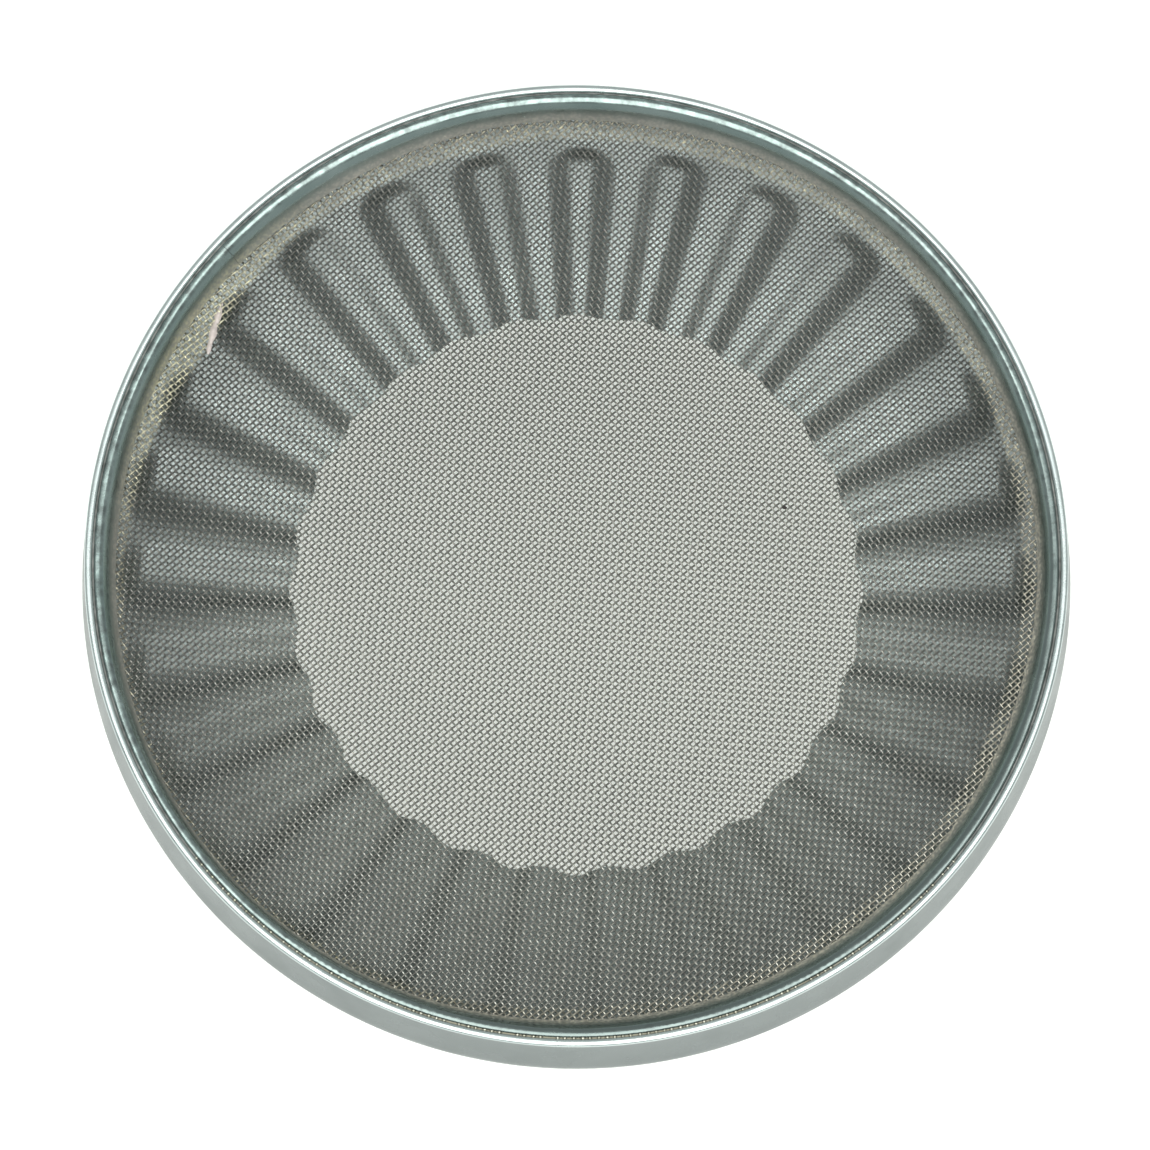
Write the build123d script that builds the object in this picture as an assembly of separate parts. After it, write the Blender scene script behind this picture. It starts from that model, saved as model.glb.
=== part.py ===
"""Round soil sieve, standing with its wire cloth upward.

A pressed body of galvanised sheet has a plain band, rolled over a core wire at the cloth end, and a
shallow fluted shoulder that runs in and down to a scalloped central opening. A disc of plain-woven
wire cloth closes the wide end. Its edge is turned up against the band and is held there by a hoop
pressed inside it.

Millimetres, +Z up. The origin is the centre of the base, level with the feet of the flutes.
"""
from build123d import *
import os
from math import cos, floor, pi, radians, sin, sqrt, tan

# Body: overall sizes
RIM_RADIUS = 150.0  # outside of the rolled rim
HEIGHT = 52.0
SHEET = 0.5
ROLL_RADIUS = 1.2  # outside radius of the rolled rim's bead
ROLL_TURN = 305.0  # degrees of bead, from the band over the top to its free end
NECK_DEPTH = 10.0  # straight top of the band, which holds the hoop
KNUCKLE_RADIUS = 154.0  # where the band and the shoulder would meet, before the bend is rounded
BAND_BEND = 20.0
KNUCKLE_BEND = 5.0

# Body: shoulder, flutes and opening
OPENING_RADIUS = 88.7  # mean radius of the scalloped edge
SCALLOP = 0.67  # the edge's swing either side of the mean
SHOULDER_SLOPE = 14.4  # degrees
FLUTES = 28
FLUTE_DEPTH = 2.5
FLUTE_END_RADIUS = 141.0
FLUTE_HALF_ANGLE = 4.9  # degrees, across the top of a flute
FLUTE_FLANK = 0.58  # share of a flute's half width taken by its sloping flank
FLUTE_END_FLANK = 7.0  # length of the slope that closes its outer end
FLUTE_CORNER = 6.0
FOOT_TRIM = 0.2  # trimmed off the lowest edge of each flute, so that it stands flat

# Wire cloth
CLOTH_DEPTH = 7.5  # top of the cloth below the top of the rim
WIRE_DIAMETER = 0.62
WIRE_PITCH = 1.55
WARP_ANGLE = 39.5  # degrees from +X
WEFT_ANGLE = WARP_ANGLE + 90
CLOTH_RADIUS = 146.5
CLOTH_EDGE_DEPTH = 0.9  # top of the turned-up edge below the top of the rim

# Hoop
HOOP_SHEET = 0.6
HOOP_RADIUS = 146.5
HOOP_DEPTH = 0.5  # top of the hoop below the top of the rim
HOOP_CREST_RADIUS = 144.9  # where the inner face would start down from the flat top
HOOP_BROW = (143.0, 2.7)  # radius, and depth below the top of the rim, where the inner face steepens
HOOP_BENDS = (0.8, 1.4, 6.0)  # at the outer corner, the crest and the brow
HOOP_LIP_RADIUS = 140.7
HOOP_JOINT_ANGLE = 138.0  # degrees from +X, where the hoop's ends meet
HOOP_JOINT_GAP = 0.4
HOOP_START = 30.0  # degrees from +X, where the turned section starts; anywhere off the joint

CLEAR = 0.05  # between pieces that rest on each other

SLOPE = radians(SHOULDER_SLOPE)
ROLL_CENTRE = (RIM_RADIUS - ROLL_RADIUS, HEIGHT - ROLL_RADIUS)
BAND_INSIDE = RIM_RADIUS - 2 * ROLL_RADIUS
BAND_OUTSIDE = BAND_INSIDE + SHEET
CLOTH_TOP = HEIGHT - CLOTH_DEPTH
CLOTH_MIDDLE = CLOTH_TOP - WIRE_DIAMETER
CLOTH_BOTTOM = CLOTH_MIDDLE - WIRE_DIAMETER
FLANK_LIFT = 1.08 * SHEET  # lifts a flute's inside off its outside, so that its flanks are one sheet thick
FLUTE_INNER_END = OPENING_RADIUS - 6  # inside the opening, so that the flutes run out through its edge


def shoulder_height(radius):
    """Height of the shoulder's underside between the flutes."""
    return FLUTE_DEPTH / cos(SLOPE) - FOOT_TRIM + (radius - OPENING_RADIUS) * tan(SLOPE)


def ring(section):
    """The solid that a section in the XZ plane sweeps as it turns about Z."""
    return revolve(Plane.XZ * section, axis=Axis.Z)


def bent_sheet(points, bends, thickness, side):
    """The section of a bent strip: a path with rounded bends, thickened to one side."""
    path = FilletPolyline(*points, radius=bends)
    return make_face(offset(path, amount=thickness, side=side, kind=Kind.INTERSECTION))


def rolled_bead():
    """The section of the bead, open on its underside beside the band."""
    bead = Circle(ROLL_RADIUS) - Circle(ROLL_RADIUS - SHEET)
    far = 2 * ROLL_RADIUS
    end = radians(180 - ROLL_TURN)
    slot = Polygon((0, 0), (-far, 0), (-far, -far), (far * cos(end), far * sin(end)), align=None)
    return Pos(*ROLL_CENTRE) * (bead - slot)


def flute_outline(drop):
    """A flute seen square to the shoulder. drop runs from 0 at its top to 1 at its floor."""
    half = tan(radians(FLUTE_HALF_ANGLE)) * (1 - FLUTE_FLANK * drop)
    near, far = FLUTE_INNER_END, FLUTE_END_RADIUS - FLUTE_END_FLANK * drop
    corners = [(near, -near * half), (far, -far * half), (far, far * half), (near, near * half)]
    outline = Polygon(*((r / cos(SLOPE), y) for r, y in corners), align=None)
    return fillet(outline.vertices().group_by(Axis.X)[-1], FLUTE_CORNER * (1 - 0.5 * drop))


def flute(lift):
    """One flute's solid along +X, from inside the sheet down to its floor, raised by lift."""
    apex = Plane((0, 0, shoulder_height(0)), (cos(SLOPE), 0, sin(SLOPE)), (sin(SLOPE), 0, -cos(SLOPE)))
    top = apex.offset(-0.6 * SHEET - lift) * flute_outline(0)
    bottom = apex.offset(FLUTE_DEPTH - lift) * flute_outline(1)
    return loft([top, bottom], ruled=True)


def around(solid):
    """A copy of the solid at every flute."""
    return [solid.rotate(Axis.Z, 360 / FLUTES * n) for n in range(FLUTES)]


def opening():
    """The scalloped opening: one arc to each flute, pushed outward at its middle."""
    low, high = OPENING_RADIUS - SCALLOP, OPENING_RADIUS + SCALLOP
    edge = []
    for n in range(FLUTES):
        left, middle, right = (2 * pi * (n + share) / FLUTES for share in (-0.5, 0, 0.5))
        places = ((low, left), (high, middle), (low, right))
        edge.append(ThreePointArc(*((r * cos(a), r * sin(a)) for r, a in places)))
    return extrude(make_face(edge), HEIGHT / 2)


def body_shell():
    """Band, rolled rim, fluted shoulder and opening: one pressing."""
    outside = [
        (BAND_OUTSIDE, ROLL_CENTRE[1]),
        (BAND_OUTSIDE, HEIGHT - NECK_DEPTH),
        (KNUCKLE_RADIUS, shoulder_height(KNUCKLE_RADIUS)),
        (FLUTE_INNER_END, shoulder_height(FLUTE_INNER_END)),
    ]
    wall = bent_sheet(outside, [BAND_BEND, KNUCKLE_BEND], SHEET, Side.RIGHT)
    shell = ring(wall + rolled_bead())
    shell = shell + around(flute(0)) - around(flute(FLANK_LIFT))
    below = Pos(0, 0, -HEIGHT / 2) * Cylinder(RIM_RADIUS, HEIGHT)
    return shell - opening() - below


def rim_wire():
    """The core wire inside the rolled rim."""
    return ring(Pos(*ROLL_CENTRE) * Circle(ROLL_RADIUS - SHEET - CLEAR / 2))


def clamp_hoop():
    """The hoop: an outer leg, a rounded top and a bulging inner face that ends on the cloth."""
    foot, top = CLOTH_TOP + CLEAR, HEIGHT - HOOP_DEPTH
    face = [
        (HOOP_RADIUS, foot),
        (HOOP_RADIUS, top),
        (HOOP_CREST_RADIUS, top),
        (HOOP_BROW[0], HEIGHT - HOOP_BROW[1]),
        (HOOP_LIP_RADIUS, foot + HOOP_SHEET),
    ]
    strip = bent_sheet(face, HOOP_BENDS, HOOP_SHEET, Side.LEFT)
    joint = Pos(HOOP_RADIUS, 0, HEIGHT) * Box(HEIGHT, HOOP_JOINT_GAP, HEIGHT)
    return ring(strip).rotate(Axis.Z, HOOP_START) - joint.rotate(Axis.Z, HOOP_JOINT_ANGLE)


def wires(angle, height):
    """One set of the cloth's parallel wires, straight and side by side."""
    thick = WIRE_DIAMETER / 2
    count = floor((CLOTH_RADIUS - thick) / WIRE_PITCH)
    rods = []
    for n in range(-count, count + 1):
        away = n * WIRE_PITCH
        length = 2 * sqrt(CLOTH_RADIUS**2 - (abs(away) + thick) ** 2)
        rods.append(Pos(0, away, height) * Rot(0, 90, 0) * Cylinder(thick, length))
    return Compound(children=[rod.rotate(Axis.Z, angle) for rod in rods])


def cloth_edge():
    """The cloth's turned-up edge, filled in as a plain ring between the hoop and the band."""
    inner, outer = HOOP_RADIUS + CLEAR, BAND_INSIDE - CLEAR
    top = HEIGHT - CLOTH_EDGE_DEPTH
    corners = [(inner, CLOTH_BOTTOM), (outer, CLOTH_BOTTOM), (outer, top), (inner, top)]
    return ring(Polygon(*corners, align=None))


PIECES = {
    "body_shell": body_shell,
    "rim_wire": rim_wire,
    "clamp_hoop": clamp_hoop,
    "warp_wires": lambda: wires(WARP_ANGLE, CLOTH_MIDDLE - WIRE_DIAMETER / 2),
    "weft_wires": lambda: wires(WEFT_ANGLE, CLOTH_MIDDLE + WIRE_DIAMETER / 2),
    "cloth_edge": cloth_edge,
}

os.makedirs("parts", exist_ok=True)
for name, make in PIECES.items():
    export_step(make(), f"parts/{name}.step")
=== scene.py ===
"""The looks of a round soil sieve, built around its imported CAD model. Metres, +Z up, Blender 4.5.

The pressed body, the hoop and the wire cloth are rebuilt as fine meshes inside the CAD model's box.
The core wire is the CAD node itself with a better material.
"""
from math import cos, degrees, pi, radians, sin, sqrt, tan

import bpy
import numpy as np
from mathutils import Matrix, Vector


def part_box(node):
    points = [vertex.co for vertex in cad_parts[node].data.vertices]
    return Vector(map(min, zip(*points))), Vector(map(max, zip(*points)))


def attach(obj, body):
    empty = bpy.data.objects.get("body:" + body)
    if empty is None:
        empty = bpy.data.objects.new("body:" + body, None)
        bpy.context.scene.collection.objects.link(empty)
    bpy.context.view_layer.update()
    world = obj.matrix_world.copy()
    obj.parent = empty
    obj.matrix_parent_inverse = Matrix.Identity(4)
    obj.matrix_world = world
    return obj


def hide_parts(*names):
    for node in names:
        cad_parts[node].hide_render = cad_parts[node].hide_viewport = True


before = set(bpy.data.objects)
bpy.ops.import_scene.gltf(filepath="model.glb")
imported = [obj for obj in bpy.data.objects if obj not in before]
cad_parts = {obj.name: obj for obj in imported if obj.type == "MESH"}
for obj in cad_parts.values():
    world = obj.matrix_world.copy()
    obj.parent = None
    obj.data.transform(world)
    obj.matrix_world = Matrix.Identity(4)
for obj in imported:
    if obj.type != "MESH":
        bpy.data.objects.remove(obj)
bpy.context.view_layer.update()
MM = 0.001
BODY = "root"
rng = np.random.default_rng(269)

# ---------------------------------------------------------------- sizes, in millimetres, from the frame
SHEET = 0.5
ROLL_RADIUS = 1.2
CORE_CLEARANCE = 0.025
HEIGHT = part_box("body_shell")[1].z / MM
RIM_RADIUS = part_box("rim_wire")[1].x / MM + SHEET + CORE_CLEARANCE
BAND_OUTSIDE = RIM_RADIUS - 2 * ROLL_RADIUS + SHEET
ROLL_CENTRE = np.array((RIM_RADIUS - ROLL_RADIUS, HEIGHT - ROLL_RADIUS))
ROLL_TURN = 305.0
ROLL_POWER = 2.7  # 2 is a round bead; more flattens its top and sides

NECK_DEPTH = 10.0
KNUCKLE_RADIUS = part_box("body_shell")[1].x / MM + 1.10  # where the band and the shoulder would meet
BAND_BEND = 20.0
KNUCKLE_BEND = 5.0
SHOULDER_END = KNUCKLE_RADIUS - 8  # the flutes and the scallops stay inside this radius

OPENING_RADIUS = 88.7
SCALLOP = 0.67
SLOPE = radians(14.4)
FLUTES = 28
FLUTE_DEPTH = 2.5
FLUTE_SINK = 1.12  # the pressed floor bows this much deeper than the CAD model's flat one
FLUTE_END_RADIUS = 142.4
FLUTE_HALF_ANGLE = 5.6
FLUTE_FLANK = 0.94
FLUTE_END_FLANK = 6.8
FLUTE_CORNER = 0.36  # share of a flank that is rounded at each end
POINTS_PER_FLUTE = 20
FOOT_TRIM = 0.2

HOOP_LOW, HOOP_HIGH = (corner.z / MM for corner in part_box("clamp_hoop"))
HOOP_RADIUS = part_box("clamp_hoop")[1].x / MM
HOOP_SHEET = 0.6
HOOP_CREST_RADIUS = 144.9  # where the inner face would start down from the flat top
HOOP_BROW = (143.0, HEIGHT - 2.7)  # radius and height where the inner face turns down to its lip
HOOP_BENDS = (0.75, 2.3, 8.0)
HOOP_FLARE = 0.6  # the hoop's top spreads over the cloth's turned-up edge
HOOP_LIP_RADIUS = 140.7
HOOP_JOINT_ANGLE = 138.0
HOOP_JOINT_GAP = 0.05  # degrees: a hairline, where the CAD model leaves 0.4 mm
HOOP_STEPS = 1501
BURR_PITCH = 2.45  # between the marks where the rim was rolled hard against the hoop
SPECKS, SPECKS_AT_FOOT = 110, 95
GRAIN_PLACE = (63.8, 17.6)  # where a dark grain is caught in the cloth
CREASE_ANGLE, CREASE_SPREAD = 146.5, 3.5  # degrees from +X to the middle, and to each end
CREASE_RADIUS, CREASE_SLANT = 134.2, 2.75
CREASE_WIDTH = 1.1
NEAR_RIGHT = radians(-55)
NEAR_LEFT = radians(222)
FOLD_SIDE = radians(150)  # where the cloth is folded up highest against the hoop

WIRE_DIAMETER = (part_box("warp_wires")[1].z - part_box("warp_wires")[0].z) / MM
WIRE_PITCH = 1.55
WARP_CRIMP, WEFT_CRIMP = 0.2, 0.42  # how far each set swings either side of the cloth's middle
WARP_ANGLE = 39.5
WEFT_ANGLE = 129.8
CLOTH_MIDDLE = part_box("warp_wires")[1].z / MM
EDGE_RADIUS = (HOOP_RADIUS + BAND_OUTSIDE - SHEET) / 2
EDGE_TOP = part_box("cloth_edge")[1].z / MM


# ---------------------------------------------------------------- meshes
def add_mesh(name, points, faces, sharp=40):
    """A smooth-shaded piece from points in millimetres. Edges steeper than sharp degrees stay crisp."""
    mesh = bpy.data.meshes.new(name)
    points = np.asarray(points, np.float32) * MM
    faces = np.asarray(faces, np.int32)
    mesh.vertices.add(len(points))
    mesh.vertices.foreach_set("co", points.ravel())
    mesh.loops.add(faces.size)
    mesh.loops.foreach_set("vertex_index", faces.ravel())
    mesh.polygons.add(len(faces))
    mesh.polygons.foreach_set("loop_start", np.arange(len(faces), dtype=np.int32) * faces.shape[1])
    mesh.update(calc_edges=True)
    mesh.polygons.foreach_set("use_smooth", np.ones(len(faces), bool))
    mesh.set_sharp_from_angle(angle=radians(sharp))
    mesh.validate()
    piece = bpy.data.objects.new(name, mesh)
    bpy.context.scene.collection.objects.link(piece)
    return piece


def grid_faces(rows, columns, wrap_rows, wrap_columns):
    """Quads over a rows by columns grid of points, joined round in either direction."""
    row_steps, column_steps = rows - (not wrap_rows), columns - (not wrap_columns)
    i, j = np.meshgrid(np.arange(row_steps), np.arange(column_steps), indexing="ij")
    i2, j2 = (i + 1) % rows, (j + 1) % columns
    quads = [i * columns + j, i2 * columns + j, i2 * columns + j2, i * columns + j2]
    return np.stack(quads, -1).reshape(-1, 4)


def bent_path(corners, bends, step):
    """Points along a path with rounded bends, and its direction at each.

    Straight runs get a point about every step.
    """
    corners = [np.array(c, float) for c in corners]
    points, directions = [], []

    def run(a, b):
        length = np.linalg.norm(b - a)
        count = max(1, round(length / step))
        for n in range(count + 1):
            points.append(a + (b - a) * n / count)
            directions.append((b - a) / length)

    start = corners[0]
    for before, corner, after, bend in zip(corners, corners[1:], corners[2:], bends):
        way_in = (corner - before) / np.linalg.norm(corner - before)
        way_out = (after - corner) / np.linalg.norm(after - corner)
        cross = way_in[0] * way_out[1] - way_in[1] * way_out[0]
        turn = np.arctan2(cross, way_in @ way_out)
        reach = bend * tan(abs(turn) / 2)
        run(start, corner - way_in * reach)
        side = np.array((-way_in[1], way_in[0])) * np.sign(turn)
        centre = corner - way_in * reach + side * bend
        count = max(3, round(abs(degrees(turn)) / 12))
        for n in range(1, count):
            a = turn * n / count
            ahead, aside = way_in
            direction = np.array((ahead * cos(a) - aside * sin(a), ahead * sin(a) + aside * cos(a)))
            points.append(centre - np.array((-direction[1], direction[0])) * np.sign(turn) * bend)
            directions.append(direction)
        start = corner + way_out * reach
    run(start, corners[-1])
    return np.array(points), np.array(directions)


def left_of(directions):
    """The direction a quarter turn to the left of each."""
    return np.stack([-directions[:, 1], directions[:, 0]], -1)


def smooth(t):
    """A rise from 0 to 1 that starts and ends level."""
    t = np.clip(t, 0, 1)
    return t * t * (3 - 2 * t)


def hump(angle, middle, spread_degrees):
    """1 at the middle angle, falling smoothly to 0 on both sides."""
    off = np.degrees(np.angle(np.exp(1j * (angle - middle))))
    return np.exp(-((off / spread_degrees) ** 2))


def ramp(t, corner):
    """A straight slope from 0 to 1 with both its ends rounded over that share of the way."""
    t = np.clip(t, 0, 1)
    steep = 1 / (1 - corner)
    low, high = steep * t**2 / (2 * corner), 1 - steep * (1 - t) ** 2 / (2 * corner)
    return np.where(t < corner, low, np.where(t > 1 - corner, high, steep * (t - corner / 2)))


# ---------------------------------------------------------------- body shell
def shoulder_height(radius):
    """Height of the shoulder's underside between the flutes."""
    return FLUTE_DEPTH / cos(SLOPE) - FOOT_TRIM + (radius - OPENING_RADIUS) * tan(SLOPE)


def flute_depth(radius, angle):
    """How far the sheet is pressed down at a place on the shoulder."""
    period = 2 * pi / FLUTES
    index = np.round(angle / period).astype(int) % FLUTES
    away = (angle / period - np.round(angle / period)) * period
    depths = FLUTE_DEPTH * FLUTE_SINK * (1 - 0.10 * rng_flutes[0][index])
    off_centre = radians(0.25) * rng_flutes[1][index] - radians(0.4)
    end = FLUTE_END_RADIUS - 1.2 * rng_flutes[2][index] ** 2
    half = radius * tan(radians(FLUTE_HALF_ANGLE))
    from_side = (half - np.abs(radius * (away - off_centre))) / (FLUTE_FLANK * half)
    from_end = (end - radius) / FLUTE_END_FLANK
    inside = 1 - np.hypot(np.maximum(1 - from_side, 0), np.maximum(1 - from_end, 0))
    return depths * ramp(inside, FLUTE_CORNER)


rng_flutes = rng.uniform(-1, 1, (3, FLUTES))
rng_flutes[0] = np.abs(rng_flutes[0])


def build_body():
    """The pressed body: one closed skin round the sheet, from the opening's edge to the rolled rim's end."""
    start = OPENING_RADIUS - SCALLOP
    outside, way = bent_path(
        [
            (start, shoulder_height(start)),
            (KNUCKLE_RADIUS, shoulder_height(KNUCKLE_RADIUS)),
            (BAND_OUTSIDE, HEIGHT - NECK_DEPTH),
            (BAND_OUTSIDE, ROLL_CENTRE[1]),
        ],
        [KNUCKLE_BEND, BAND_BEND],
        1.7,
    )
    turns = np.radians(np.linspace(180, 180 - ROLL_TURN, 26))[1:]
    roll_way = np.stack([np.sin(turns), -np.cos(turns)], -1)
    outward = np.stack([np.cos(turns), np.sin(turns)], -1)
    squash = np.sum(np.abs(outward) ** ROLL_POWER, axis=1) ** (-1 / ROLL_POWER)
    roll = ROLL_CENTRE + (ROLL_RADIUS * squash - SHEET)[:, None] * outward
    roll[:, 1] = np.minimum(roll[:, 1], HEIGHT - SHEET)
    outside, way = np.vstack([outside, roll]), np.vstack([way, roll_way])
    normal = left_of(way)
    section = np.vstack([outside, (outside + normal * SHEET)[::-1]])
    normals = np.vstack([normal, normal[::-1]])

    count = FLUTES * POINTS_PER_FLUTE
    angles = np.arange(count) * 2 * pi / count
    radius = section[:, :1] + 0 * angles
    height = section[:, 1:] + 0 * angles
    on_shoulder = (section[:, 1] < shoulder_height(SHOULDER_END) + 2) & (section[:, 0] < SHOULDER_END)
    reach = np.where(on_shoulder, (SHOULDER_END - section[:, 0]) / (SHOULDER_END - start), 0)[:, None]
    swing = SCALLOP * (1 + np.cos(FLUTES * angles)) * np.clip(reach, 0, 1)
    radius = radius + swing
    height = height + swing * tan(SLOPE)
    depth = np.where(on_shoulder[:, None], flute_depth(radius, angles[None, :]), 0)
    radius = radius - depth * normals[:, :1]
    height = height - depth * normals[:, 1:]
    height = np.maximum(height, 0)
    points = np.stack([radius * np.cos(angles), radius * np.sin(angles), height], -1).reshape(-1, 3)
    return add_mesh("pressed_body", points, grid_faces(len(section), len(angles), True, True)[:, ::-1])


# ---------------------------------------------------------------- hoop
def lip_wander(angle):
    """The hoop isn't quite round: how far its lip stands off its mean radius."""
    wide = 2.1 * hump(angle, NEAR_LEFT, 32) - 1.0 * hump(angle, radians(122), 25)
    return wide + 0.2 * np.sin(3 * angle + 1) + 0.12 * np.sin(7 * angle + 2)


def climb_width(angle):
    """How far inside the hoop's lip the cloth starts to climb to it."""
    wide = 4.4 + 1.6 * hump(angle, radians(95), 35) + 4.6 * hump(angle, FOLD_SIDE, 12)
    wide = wide + 0.3 * np.sin(11 * angle)
    return np.maximum(wide - 4.4 * hump(angle, radians(215), 38), 0.6)


def build_hoop():
    """The hoop that holds the cloth: outer leg, rounded top and bulging inner face, open at its joint."""
    foot = HOOP_LOW
    outside, way = bent_path(
        [
            (HOOP_RADIUS, foot),
            (HOOP_RADIUS, HOOP_HIGH - 2.2),
            (HOOP_RADIUS + HOOP_FLARE, HOOP_HIGH - 0.9),
            (HOOP_RADIUS + HOOP_FLARE, HOOP_HIGH),
            (HOOP_CREST_RADIUS, HOOP_HIGH),
            HOOP_BROW,
            (HOOP_LIP_RADIUS, foot + HOOP_SHEET),
        ],
        (1.0, 0.5, *HOOP_BENDS),
        3.0,
    )
    section = np.vstack([outside, (outside + left_of(way) * HOOP_SHEET)[::-1]])
    gap = radians(HOOP_JOINT_GAP)
    turns = radians(HOOP_JOINT_ANGLE) + np.linspace(gap / 2, 2 * pi - gap / 2, HOOP_STEPS)
    lip = np.clip((HOOP_CREST_RADIUS - section[:, :1]) / (HOOP_CREST_RADIUS - HOOP_LIP_RADIUS), 0, 1)
    radius = section[:, :1] + lip * lip_wander(turns)
    crest = np.clip((section[:, 1:] - HOOP_HIGH + 1.5) / 1.5, 0, 1) ** 2
    near = smooth((np.cos(turns + pi / 2) - 0.72) / 0.2)
    pressed = near * np.clip(np.sin(turns * HOOP_RADIUS * 2 * pi / BURR_PITCH) - 0.35, 0, 1)
    worn = 0.05 * np.sin(23 * turns) * np.sin(41 * turns + 1) + 0.04 * np.sin(67 * turns + 2)
    height = section[:, 1:] - crest * (0.16 * pressed + 0.05 + worn * 0.5)
    points = np.stack([radius * np.cos(turns), radius * np.sin(turns), height], -1).reshape(-1, 3)
    rows, columns = len(section), len(turns)
    sides = grid_faces(rows, columns, True, False)
    half = rows // 2
    ends = []
    for column, order in ((0, -1), (columns - 1, 1)):
        for n in range(half - 1):
            quad = [n, n + 1, rows - 2 - n, rows - 1 - n]
            ends.append([k * columns + column for k in quad[::order]])
    return add_mesh("clamp_hoop_formed", points, np.vstack([sides, ends]))


def build_specks():
    """Beads of zinc left along the foot of the hoop's inner face, and a few on the face itself."""
    ball = np.array([(-1, 0, 0), (0, -1, 0), (0, 0, -1), (0, 0, 1), (0, 1, 0), (1, 0, 0)])
    sides = np.array([(0, 1, 2), (0, 2, 4), (0, 4, 3), (0, 3, 1), (5, 2, 1), (5, 4, 2), (5, 3, 4), (5, 1, 3)])
    points, faces = [], []
    for n in range(SPECKS):
        angle, size = rng.uniform(0, 2 * pi), rng.uniform(0.14, 0.34)
        up = 0.0 if n < SPECKS_AT_FOOT else rng.uniform(0.1, 0.6)
        foot = np.array((HOOP_LIP_RADIUS + lip_wander(angle), HOOP_LOW + HOOP_SHEET))
        brow = np.array(HOOP_BROW) + (0.5 * lip_wander(angle), 0)
        radius, height = foot + (brow - foot) * up
        centre = np.array((radius * cos(angle), radius * sin(angle), height))
        points.append(centre + ball * size * rng.uniform(0.7, 1.2, (1, 3)))
        faces.append(sides + 6 * n)
    return add_mesh("zinc_specks", np.vstack(points), np.vstack(faces), sharp=180)


def build_seam():
    """Short burrs in a row along the seam's near side, where the rim was rolled hard on the hoop.

    Their material paints them bright, as painted glints.
    """
    span = np.radians(np.arange(-141, -39, degrees(BURR_PITCH / HOOP_RADIUS)))
    points, faces = [], []
    for angle in span:
        if rng.uniform() < 0.12:
            continue
        turned = angle + rng.uniform(-0.002, 0.002)
        out = np.array((cos(turned), sin(turned), 0.0))
        along = np.array((-sin(turned), cos(turned), 0.0))
        long, wide = rng.uniform(0.60, 1.0), rng.uniform(0.34, 0.46)
        centre = out * (HOOP_RADIUS + HOOP_FLARE + 0.25) + np.array((0, 0, HOOP_HIGH - 0.15))
        tips = [along * long, -along * long, out * wide, -out * wide, (0, 0, 0.32), (0, 0, -0.32)]
        points.append(centre + np.array(tips))
        order = [(0, 2, 4), (2, 1, 4), (1, 3, 4), (3, 0, 4), (2, 0, 5), (1, 2, 5), (3, 1, 5), (0, 3, 5)]
        faces.append(np.array(order) + 6 * (len(points) - 1))
    return add_mesh("seam_burrs", np.vstack(points), np.vstack(faces), sharp=180)


def build_seam_fill():
    """Grey zinc that has run into the narrow seam between the hoop and the rolled rim."""
    count, sunk = 720, 0.15  # it reaches this far into the hoop and the rim, so that no gap shows
    turns = np.arange(count) * 2 * pi / count
    inner, outer = HOOP_RADIUS + HOOP_FLARE - sunk, RIM_RADIUS - 2 * ROLL_RADIUS + sunk
    top = HOOP_HIGH - 0.75 + 0.10 * np.sin(37 * turns) + 0.07 * np.sin(91 * turns + 1)
    points = []
    section = ((inner, 0.0), ((inner + outer) / 2, 0.12), (outer, 0.0), (outer, 0.5), (inner, 0.5))
    for radius, drop in section:
        points.append(np.stack([radius * np.cos(turns), radius * np.sin(turns), top - drop], -1))
    return add_mesh("seam_fill", np.vstack(points), grid_faces(5, len(turns), True, True), sharp=60)


def build_grain():
    """A dark grain of soil caught in the cloth."""
    turns = np.arange(7) * 2 * pi / 7
    middle = np.array((GRAIN_PLACE[0], GRAIN_PLACE[1], CLOTH_MIDDLE - 1.5))
    points = [middle + (0, 0, -0.3)]
    for height, radius in ((-0.1, 0.65), (0.25, 0.8), (0.55, 0.45)):
        rough = radius * rng.uniform(0.75, 1.15, len(turns))
        ring = [rough * np.cos(turns), 0.7 * rough * np.sin(turns), 0 * turns + height]
        points.extend(middle + np.stack(ring, -1))
    points.append(middle + (0, 0, 0.58))
    last, count = len(points) - 1, len(turns)
    faces = []
    for n in range(count):
        after = (n + 1) % count
        faces.append((0, 1 + after, 1 + n))
        for row in (0, 1):
            low, high = 1 + row * count, 1 + (row + 1) * count
            faces.extend([(low + n, low + after, high + after), (low + n, high + after, high + n)])
        faces.append((1 + 2 * count + n, 1 + 2 * count + after, last))
    return add_mesh("soil_grain", np.array(points), np.array(faces), sharp=50)


def build_crease():
    """The pale strip of folded cloth that stands in the corner between the cloth and the hoop on one side."""
    along = np.linspace(-1, 1, 41)
    angle = radians(CREASE_ANGLE) + radians(CREASE_SPREAD) * along
    middle = CREASE_RADIUS - CREASE_SLANT * along
    wide = CREASE_WIDTH * np.sqrt(np.maximum(1 - along**2, 0)) * (1 + 0.25 * np.sin(9 * along)) + 0.02
    points = []
    for share, lift in ((-1, 0.0), (-0.3, 0.55), (0.45, 0.5), (1, 0.0)):
        radius = middle + share * wide
        height = CLOTH_MIDDLE - 0.9 + lift * wide + 0.12 * np.sin(31 * along + share)
        points.append(np.stack([radius * np.cos(angle), radius * np.sin(angle), height], -1))
    points.append((points[0] + points[3]) / 2 - (0, 0, 0.3))
    return add_mesh("cloth_crease", np.vstack(points), grid_faces(5, len(along), True, False), sharp=60)


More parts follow.
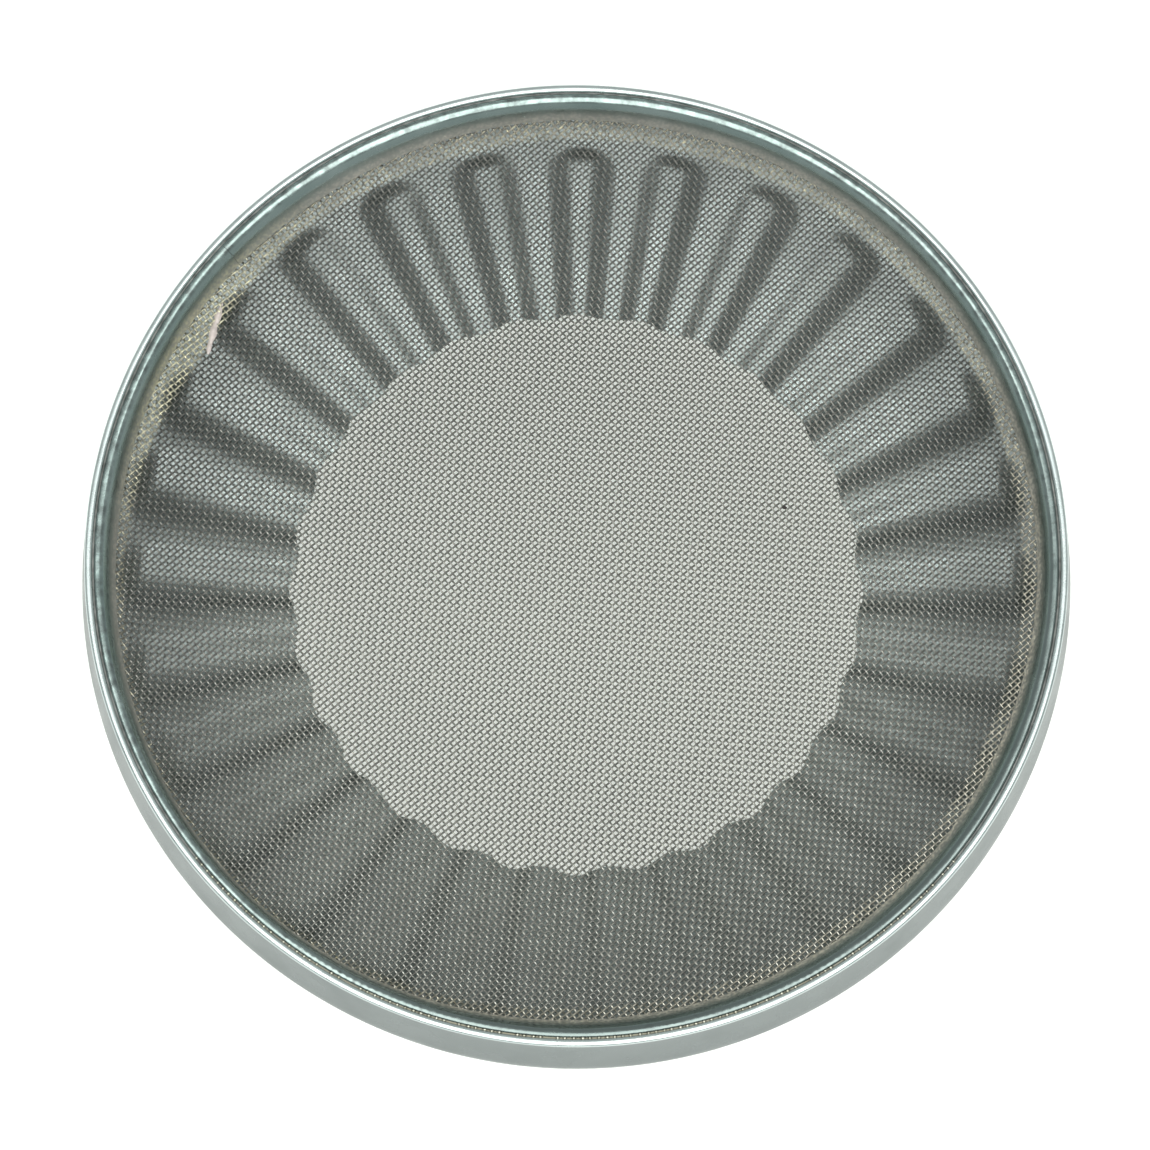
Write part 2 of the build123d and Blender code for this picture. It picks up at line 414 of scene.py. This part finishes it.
# ---------------------------------------------------------------- wire cloth
FOLD = 1.0  # radius of the bend where the cloth turns up
FOLD_START = EDGE_RADIUS - FOLD
WIRE_SIDES = 6
WIRE_BANDS = 5
EDGE_DROP = 2.9  # how far the wires' ends stop below the top of the CAD model's turned-up edge
TINT_LEAD = 0.6  # how much sooner the wire's tint changes than its climb starts
SAG = 0.7
RISE = 1.5  # how much the cloth climbs in its last few millimetres, where the hoop presses it


def cloth_place(flat, lift):
    """Carries points of the flat cloth, each lifted off its middle plane, onto the sieve.

    There the cloth sags in the middle, climbs to the hoop's lip and turns up at its edge.
    """
    away = np.hypot(flat[:, 0], flat[:, 1])
    outward = flat / np.maximum(away, 1e-6)[:, None]
    bend = np.clip((away - FOLD_START) / FOLD, 0, pi / 2)
    beyond = np.maximum(away - FOLD_START - FOLD * pi / 2, 0)
    radius = np.minimum(away, FOLD_START) + FOLD * np.sin(bend)
    height = CLOTH_MIDDLE + FOLD * (1 - np.cos(bend)) + beyond
    angle = np.arctan2(flat[:, 1], flat[:, 0])
    inside = np.clip(1 - (away / HOOP_LIP_RADIUS) ** 2, 0, 1)
    ripple = 0.35 * np.sin(flat[:, 0] / 31 + 0.8) * np.sin(flat[:, 1] / 26 + 0.3)
    height = height - inside * (SAG + ripple + 0.15 * np.sin(5 * angle + 1.0))
    height = height - RISE * (1 - climb_share(away, angle))
    radius = radius - lift * np.sin(bend)
    height = height + lift * np.cos(bend)
    return np.column_stack([outward * radius[:, None], height])


def climb_share(away, angle):
    """How far up its climb the cloth is, from 0 on the flat to 1 at the hoop's lip."""
    width = climb_width(angle)
    return ramp((away - HOOP_LIP_RADIUS - lip_wander(angle) + width) / width, 0.2)


def edge_height(angle):
    """How far the turned-up edge stands above the cloth's middle plane."""
    return (EDGE_TOP - CLOTH_MIDDLE - EDGE_DROP) + 0.25 * np.sin(17 * angle) * np.sin(5 * angle)


def wire(offset, angle, over, crimp):
    """One crimped wire as points and quads. over is 1 or -1: which side of the first crossing it passes."""
    full = FOLD_START + FOLD * pi / 2 + (EDGE_TOP - CLOTH_MIDDLE)
    if abs(offset) >= full - 2:
        return None
    reach = sqrt(full**2 - offset**2)
    crossings = np.arange(-int(reach / WIRE_PITCH), int(reach / WIRE_PITCH) + 1)
    along = np.concatenate([crossings - 0.25, crossings + 0.25])
    crossing = np.concatenate([crossings, crossings])
    order = np.argsort(along)
    along, crossing = along[order] * WIRE_PITCH, crossing[order]
    lift = crimp * over * np.where(crossing % 2 == 0, 1, -1)
    ahead = np.array((cos(angle), sin(angle)))
    aside = np.array((-sin(angle), cos(angle)))
    flat = along[:, None] * ahead + offset * aside
    away = np.hypot(flat[:, 0], flat[:, 1])
    limit = FOLD_START + FOLD * (pi / 2 - 1) + edge_height(np.arctan2(flat[:, 1], flat[:, 0]))
    keep = away < limit
    if keep.sum() < 6:
        return None
    flat, lift, away = flat[keep], lift[keep], away[keep]
    lift = lift * (1 - 0.25 * smooth((away - FOLD_START) / 2))
    centre = cloth_place(flat, lift)
    towards = np.gradient(centre, axis=0)
    towards /= np.linalg.norm(towards, axis=1)[:, None]
    above = cloth_place(flat, lift + 0.1) - centre
    side = np.cross(towards, above)
    side /= np.linalg.norm(side, axis=1)[:, None]
    up = np.cross(side, towards)
    turn = np.arange(WIRE_SIDES) * 2 * pi / WIRE_SIDES
    ring = np.cos(turn)[:, None] * side[:, None, :] + np.sin(turn)[:, None] * up[:, None, :]
    points = (centre[:, None, :] + WIRE_DIAMETER / 2 * ring).reshape(-1, 3)
    climb = climb_share(away + TINT_LEAD, np.arctan2(flat[:, 1], flat[:, 0]))
    return points, grid_faces(len(centre), WIRE_SIDES, False, True), np.repeat(climb, WIRE_SIDES)


def build_wires(name, angle, over, crimp, nodes):
    """One set of the cloth's wires, in bands, so that no one mesh is too heavy."""
    count = int((FOLD_START + 6) / WIRE_PITCH)
    bands = np.array_split(np.arange(-count, count + 1), WIRE_BANDS)
    pieces = []
    for number, band in enumerate(bands, 1):
        points, faces, climbs, total = [], [], [], 0
        for n in band:
            made = wire(n * WIRE_PITCH, radians(angle), over if n % 2 == 0 else -over, crimp)
            if made is None:
                continue
            points.append(made[0])
            faces.append(made[1] + total)
            climbs.append(made[2])
            total += len(made[0])
        piece = add_mesh(f"{name}_{number}", np.vstack(points), np.vstack(faces), sharp=180)
        marks = piece.data.attributes.new("climb", "FLOAT", "POINT")
        marks.data.foreach_set("value", np.concatenate(climbs).astype(np.float32))
        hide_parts(*nodes)
        pieces.append(piece)
    return pieces


# ---------------------------------------------------------------- materials
class Material:
    """A node material that is built one node at a time."""

    def __init__(self, name):
        self.material = bpy.data.materials.new(name)
        self.material.use_nodes = True
        self.tree = self.material.node_tree
        self.shader = self.tree.nodes["Principled BSDF"]

    def node(self, kind, inputs=None, **settings):
        node = self.tree.nodes.new(kind)
        for key, value in settings.items():
            setattr(node, key, value)
        for key, value in (inputs or {}).items():
            self.put(node.inputs[key], value)
        return node

    def put(self, socket, value):
        if isinstance(value, bpy.types.NodeSocket):
            self.tree.links.new(value, socket)
        else:
            socket.default_value = value

    def place(self):
        """The point's place in the sieve's own frame."""
        return self.node("ShaderNodeTexCoord").outputs["Object"]

    def axis(self, letter):
        """The point's X, Y or Z in the sieve's own frame."""
        return self.node("ShaderNodeSeparateXYZ", {"Vector": self.place()}).outputs[letter]

    def away(self):
        """Distance from the sieve's axis."""
        flat = {"X": self.axis("X"), "Y": self.axis("Y"), "Z": 0.0}
        level = self.node("ShaderNodeCombineXYZ", flat).outputs[0]
        return self.node("ShaderNodeVectorMath", {0: level}, operation="LENGTH").outputs["Value"]

    def toward(self, angle, low, high):
        """How far a point lies toward that angle from +X: 0 at the low cosine between them, 1 at the high."""
        outward = self.node("ShaderNodeVectorMath", {0: self.place()}, operation="NORMALIZE").outputs[0]
        faced = {0: outward, 1: (cos(angle), sin(angle), 0)}
        along = self.node("ShaderNodeVectorMath", faced, operation="DOT_PRODUCT").outputs["Value"]
        return self.spread(along, 0, 1, low, high)

    def math(self, operation, *values):
        return self.node("ShaderNodeMath", dict(enumerate(values)), operation=operation).outputs[0]

    def times(self, first, second):
        return self.math("MULTIPLY", first, second)

    def noise(self, size_mm, detail):
        """Noise from 0 to 1 with patches of about that size."""
        settings = {"Vector": self.place(), "Scale": 1 / (size_mm * MM), "Detail": detail}
        return self.node("ShaderNodeTexNoise", settings).outputs["Fac"]

    def spread(self, value, low, high, low_in=0.3, high_in=0.7):
        """A value carried from one range onto another."""
        ranges = {"From Min": low_in, "From Max": high_in, "To Min": low, "To Max": high}
        return self.node("ShaderNodeMapRange", {"Value": value, **ranges}).outputs["Result"]

    def over(self, length, low, high, from_mm, to_mm):
        """A length carried from a range in millimetres onto another range."""
        return self.spread(length, low, high, from_mm * MM, to_mm * MM)

    def blend(self, share, first, second):
        """A colour between two, by share."""
        node = self.node("ShaderNodeMix", data_type="RGBA")
        self.put(node.inputs["Factor"], share)
        self.put(node.inputs[6], first)
        self.put(node.inputs[7], second)
        return node.outputs[2]

    def bump(self, height, depth_mm, below=None):
        node = self.node("ShaderNodeBump", {"Height": height, "Distance": depth_mm * MM, "Strength": 1.0})
        if below is not None:
            self.put(node.inputs["Normal"], below)
        return node.outputs["Normal"]


    def surface(self, base, roughness, metallic=0.0, normal=None):
        """Sets the shader's main sockets, and returns the finished material."""
        self.put(self.shader.inputs["Base Color"], base)
        self.put(self.shader.inputs["Metallic"], metallic)
        self.put(self.shader.inputs["Roughness"], roughness)
        if normal is not None:
            self.put(self.shader.inputs["Normal"], normal)
        return self.material


def zinc_sheet(name, light, dark, roughness, bump_mm, outer_shade_depth):
    """Galvanised sheet: soft spangle, cloudy patches, fine grain, and painted shade towards the neck.

    The shoulder is painted darker towards the neck, as painted shade. The last argument is how dark
    the band's outer face is painted between the shoulder and the rim, as painted shade.
    """
    made = Material(name)
    cells = made.node("ShaderNodeTexVoronoi", {"Vector": made.place(), "Scale": 1 / (9 * MM)}, feature="F1")
    spangle = made.node("ShaderNodeSeparateColor", {"Color": cells.outputs["Color"]}).outputs[0]
    cloud = made.spread(made.noise(26, 4), 0, 0.7)
    fresh = made.blend(made.math("ADD", cloud, made.spread(spangle, 0, 0.3, 0, 1)), dark, light)

    # painted shade: the band's outer face is painted darker between the shoulder and the rim
    under_rim = made.over(made.axis("Z"), outer_shade_depth, 0, 50.9, 51.4)
    over_shoulder = made.over(made.axis("Z"), 0, 1, 18.5, 22.5)
    outer_face = made.over(made.away(), 0, 1, 147.8, 148.1)
    painted_outer_shade = made.times(made.times(under_rim, over_shoulder), outer_face)

    # painted shade: the shoulder is painted darker towards the neck
    outward = made.over(made.away(), 0, 0.34, 104, 138)
    below_neck = made.over(made.axis("Z"), 1, 0, 25, 40)
    painted_neck_shade = made.blend(made.times(outward, below_neck), fresh, (0.10, 0.105, 0.10, 1))

    colour = made.blend(painted_outer_shade, painted_neck_shade, (0.10, 0.115, 0.115, 1))
    grain = made.bump(made.noise(0.9, 2), bump_mm * 0.12)
    waves = made.bump(made.noise(17, 2), bump_mm, grain)
    return made.surface(colour, made.spread(made.noise(14, 5), *roughness), 1.0, waves)


def zinc_strip(name, light, shade, spots_and_shade):
    """The hoop's strip: dark teal zinc under its crest, and blotched on top.

    Its foot is painted paler and warmer, with a fine speckle, as a painted reflection,
    and its crest is painted darker on the near-right side, as painted shade.
    """
    made = Material(name)
    cloud = made.blend(made.spread(made.noise(22, 4), 0, 1), shade, light)
    # painted reflection: the foot of the inner face is painted golden on the fold's side, pale on the
    # near-right side, and finely speckled
    foot = made.blend(made.toward(FOLD_SIDE, 0.86, 0.985), (0.60, 0.585, 0.535, 1), (0.70, 0.69, 0.50, 1))
    foot = made.blend(made.toward(NEAR_RIGHT, -0.1, 0.7), foot, (0.95, 0.91, 0.80, 1))
    painted_reflection_speckle = made.blend(made.spread(made.noise(1.1, 3), 0, 0.8, 0.38, 0.58), foot, (0.44, 0.45, 0.42, 1))

    low = made.over(made.axis("Z"), 1, 0, HOOP_LOW + 1.8, HOOP_BROW[1] + 0.2)
    inner = made.over(made.away(), 1, 0, HOOP_CREST_RADIUS + 0.2, HOOP_CREST_RADIUS + 0.4)
    inner_foot = made.times(low, inner)
    wall = made.blend(inner_foot, cloud, painted_reflection_speckle)

    crest = made.over(made.axis("Z"), 0, 1, HOOP_HIGH - 1.0, HOOP_HIGH - 0.4)
    blotch = made.times(crest, made.spread(made.noise(3.4, 4), 0, 1, 0.34, 0.66))
    # painted shade: the crest is painted darker on the near-right side
    shaded = made.times(crest, made.times(made.toward(NEAR_RIGHT, -0.2, 0.7), 0.85))
    colour = made.blend(made.math("MAXIMUM", blotch, shaded), wall, spots_and_shade)

    sheen = made.spread(made.noise(5, 4), 0.16, 0.29)
    roughness = made.math("ADD", sheen, made.times(inner_foot, 0.3))
    grain = made.bump(made.noise(0.8, 2), 0.008)
    return made.surface(colour, roughness, 1.0, made.bump(made.noise(7, 3), 0.07, grain))


def drawn_wire(name, dark, light, roughness):
    """The cloth's wire: semi-bright zinc, painted darker towards +Y and at both sides in X, as painted shade.

    Where it climbs to the hoop it is painted warm, with painted glints, as a painted reflection:
    golden on the fold's side and paler on the near-right side.
    """
    made = Material(name)
    climbed = made.node("ShaderNodeAttribute", attribute_name="climb").outputs["Fac"]
    # painted reflection: warm colour and painted glints where the wire climbs to the hoop
    climb = made.times(made.spread(climbed, 0, 1, 0.02, 0.25), made.spread(made.noise(1.4, 3), 0.1, 1))
    fine = made.spread(made.noise(0.9, 2), 0, 1, 0.52, 0.68)
    glints = made.blend(fine, (0.44, 0.42, 0.345, 1), (0.88, 0.83, 0.60, 1))
    golden = made.blend(made.toward(FOLD_SIDE, 0.86, 0.985), glints, (0.94, 0.91, 0.68, 1))
    golden = made.blend(made.toward(NEAR_RIGHT, 0.2, 0.9), golden, (0.56, 0.535, 0.45, 1))

    bright = made.blend(made.spread(made.noise(2.2, 2), 0, 1), dark, light)
    # painted shade: darker towards +Y and at both sides in X
    far_side_shade = made.over(made.axis("Y"), 0, 0.5, -20, 110)
    side_shade = made.over(made.math("ABSOLUTE", made.axis("X")), 0, 0.36, 80, 128)
    plain = made.blend(made.math("ADD", far_side_shade, side_shade), bright, (0.02, 0.025, 0.025, 1))
    return made.surface(made.blend(climb, plain, golden), made.spread(made.noise(1.2, 2), *roughness), 1.0)


def dull_zinc(name):
    """Dull grey zinc, painted yellower on the near side as a painted warm reflection."""
    made = Material(name)
    grey = made.blend(made.spread(made.noise(3, 3), 0, 1), (0.10, 0.105, 0.10, 1), (0.26, 0.27, 0.26, 1))
    # painted reflection: yellower on the near side
    colour = made.blend(made.over(made.axis("Y"), 1, 0, -145, -85), grey, (0.34, 0.32, 0.25, 1))
    return made.surface(colour, 0.6, 0.6, made.bump(made.noise(1.2, 3), 0.08))


def pale_pinkish_strip(name):
    """Dull pinkish-white, in patches, over the fold."""
    made = Material(name)
    colour = made.blend(made.noise(1.5, 4), (0.46, 0.40, 0.375, 1), (0.66, 0.60, 0.57, 1))
    roughness = made.spread(made.noise(1, 3), 0.4, 0.65)
    return made.surface(colour, roughness, 0.35, made.bump(made.noise(0.9, 4), 0.12))


def glint_painted_zinc(name):
    """Pale golden zinc, painted bright as glints."""
    made = Material(name)
    patches = made.spread(made.noise(2, 3), 0, 1)
    # painted highlight: the pale golden colour stands in for glints along the seam
    colour = made.blend(patches, (0.62, 0.585, 0.46, 1), (0.92, 0.89, 0.78, 1))
    return made.surface(colour, made.spread(made.noise(1, 2), 0.35, 0.5), 1.0)


def dark_grain(name):
    """Dark crumbly soil."""
    made = Material(name)
    crumbs = made.spread(made.noise(0.4, 3), 0, 1)
    colour = made.blend(crumbs, (0.012, 0.011, 0.010, 1), (0.05, 0.045, 0.04, 1))
    return made.surface(colour, 0.9, normal=made.bump(made.noise(0.3, 3), 0.1))


def plain_wire(name):
    """Drawn steel wire with a faint grain."""
    made = Material(name)
    colour = made.blend(made.noise(4, 3), (0.36, 0.37, 0.37, 1), (0.46, 0.47, 0.47, 1))
    return made.surface(colour, made.spread(made.noise(2, 2), 0.3, 0.5), 1.0)


def floor_paper(name):
    """The studio floor: plain pale paper with a faint glow of its own."""
    made = Material(name)
    colour = made.blend(made.noise(60, 2), (0.90, 0.90, 0.90, 1), (0.93, 0.93, 0.93, 1))
    made.put(made.shader.inputs["Specular IOR Level"], 0.1)
    made.put(made.shader.inputs["Emission Color"], (0.95, 1.0, 0.91, 1))
    made.put(made.shader.inputs["Emission Strength"], 0.38)
    return made.surface(colour, 0.95)


def dress(piece, material):
    """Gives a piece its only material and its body."""
    piece.data.materials.clear()
    piece.data.materials.append(material)
    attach(piece, BODY)


# ---------------------------------------------------------------- stage
CAMERA_DISTANCE = 1.77
CAMERA_TILT = radians(12.27)
CAMERA_LENS = 181.9
AIM_LEFT, AIM_DOWN = 0.4, 5.5  # millimetres from the rim's centre to the middle of the picture
LAMP_LEAN = -18  # degrees from the vertical towards +Y
LAMP_DISTANCE = 2.2
LAMP_SIZE = 2.3
LAMP_RADIANCE = 2.9


def build_stage():
    """The floor, the even surroundings and one rectangular lamp overhead."""
    bpy.ops.mesh.primitive_circle_add(vertices=96, radius=6.0, fill_type="NGON", location=(0, 0, 0))
    floor = bpy.context.object
    floor.name = "floor"
    floor.data.materials.append(floor_paper("paper"))

    world = bpy.data.worlds.new("studio")
    world.use_nodes = True
    background = world.node_tree.nodes["Background"]
    background.inputs["Color"].default_value = (0.96, 1.0, 0.99, 1)
    background.inputs["Strength"].default_value = 0.60
    bpy.context.scene.world = world

    light = bpy.data.lights.new("overhead", "AREA")
    light.shape, light.size, light.size_y = "RECTANGLE", 0.85 * LAMP_SIZE, LAMP_SIZE
    light.energy, light.color = pi * LAMP_SIZE**2 * LAMP_RADIANCE, (1.0, 1.0, 0.975)
    lamp = bpy.data.objects.new("overhead", light)
    lamp.location = Vector((0, tan(radians(LAMP_LEAN)), 1)).normalized() * LAMP_DISTANCE
    lamp.rotation_mode = "QUATERNION"
    lamp.rotation_quaternion = (-lamp.location).to_track_quat("-Z", "Y")
    bpy.context.scene.collection.objects.link(lamp)


def build_camera():
    """The photo's view: from above, tilted a little towards the near side."""
    camera = bpy.data.objects.new("camera", bpy.data.cameras.new("camera"))
    bpy.context.scene.collection.objects.link(camera)
    rim_centre = Vector((0, 0, HEIGHT * MM))
    back = Vector((0, -sin(CAMERA_TILT), cos(CAMERA_TILT)))
    up = Vector((0, cos(CAMERA_TILT), sin(CAMERA_TILT)))
    aim = rim_centre - Vector((AIM_LEFT * MM, 0, 0)) - up * AIM_DOWN * MM
    camera.location = rim_centre + back * CAMERA_DISTANCE
    camera.rotation_mode = "QUATERNION"
    camera.rotation_quaternion = (aim - camera.location).to_track_quat("-Z", "Y")
    camera.data.lens, camera.data.sensor_width = CAMERA_LENS, 36.0
    camera.data.clip_start, camera.data.clip_end = 0.05, 50
    bpy.context.scene.camera = camera
    bpy.context.scene.view_settings.view_transform = "Standard"


# ---------------------------------------------------------------- put together
SHEET_LIGHT, SHEET_DARK = (0.585, 0.655, 0.645, 1), (0.44, 0.50, 0.495, 1)
SHEET_METAL = zinc_sheet("zinc_sheet", SHEET_LIGHT, SHEET_DARK, (0.22, 0.34), 0.05, 0.86)
HOOP_METAL = zinc_strip("zinc_strip", (0.34, 0.415, 0.40, 1), (0.25, 0.325, 0.31, 1), (0.15, 0.18, 0.175, 1))
# painted light and shade: the same wire, painted darker in the warp and lighter in the weft so that the
# weft's glints stand out
WARP_WIRE_PAINTED_DARK = drawn_wire("warp_wire", (0.17, 0.172, 0.158, 1), (0.25, 0.252, 0.23, 1), (0.45, 0.60))
WEFT_WIRE_PAINTED_LIGHT = drawn_wire("weft_wire", (0.37, 0.373, 0.34, 1), (0.50, 0.503, 0.46, 1), (0.24, 0.34))

body = build_body()
dress(body, SHEET_METAL)
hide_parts("body_shell")

hoop = build_hoop()
dress(hoop, HOOP_METAL)
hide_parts("clamp_hoop")

dress(build_specks(), HOOP_METAL)
dress(build_seam(), glint_painted_zinc("glint_painted_zinc"))
dress(build_seam_fill(), dull_zinc("dull_zinc"))
dress(build_grain(), dark_grain("dark_grain"))
dress(build_crease(), pale_pinkish_strip("pale_pinkish_strip"))

for piece in build_wires("warp_wires_woven", WARP_ANGLE, 1, WARP_CRIMP, ("warp_wires", "cloth_edge")):
    dress(piece, WARP_WIRE_PAINTED_DARK)
for piece in build_wires("weft_wires_woven", WEFT_ANGLE, -1, WEFT_CRIMP, ("weft_wires", "cloth_edge")):
    dress(piece, WEFT_WIRE_PAINTED_LIGHT)

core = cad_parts["rim_wire"]
core.data.materials.clear()
core.data.materials.append(plain_wire("core_wire"))

build_camera()
build_stage()
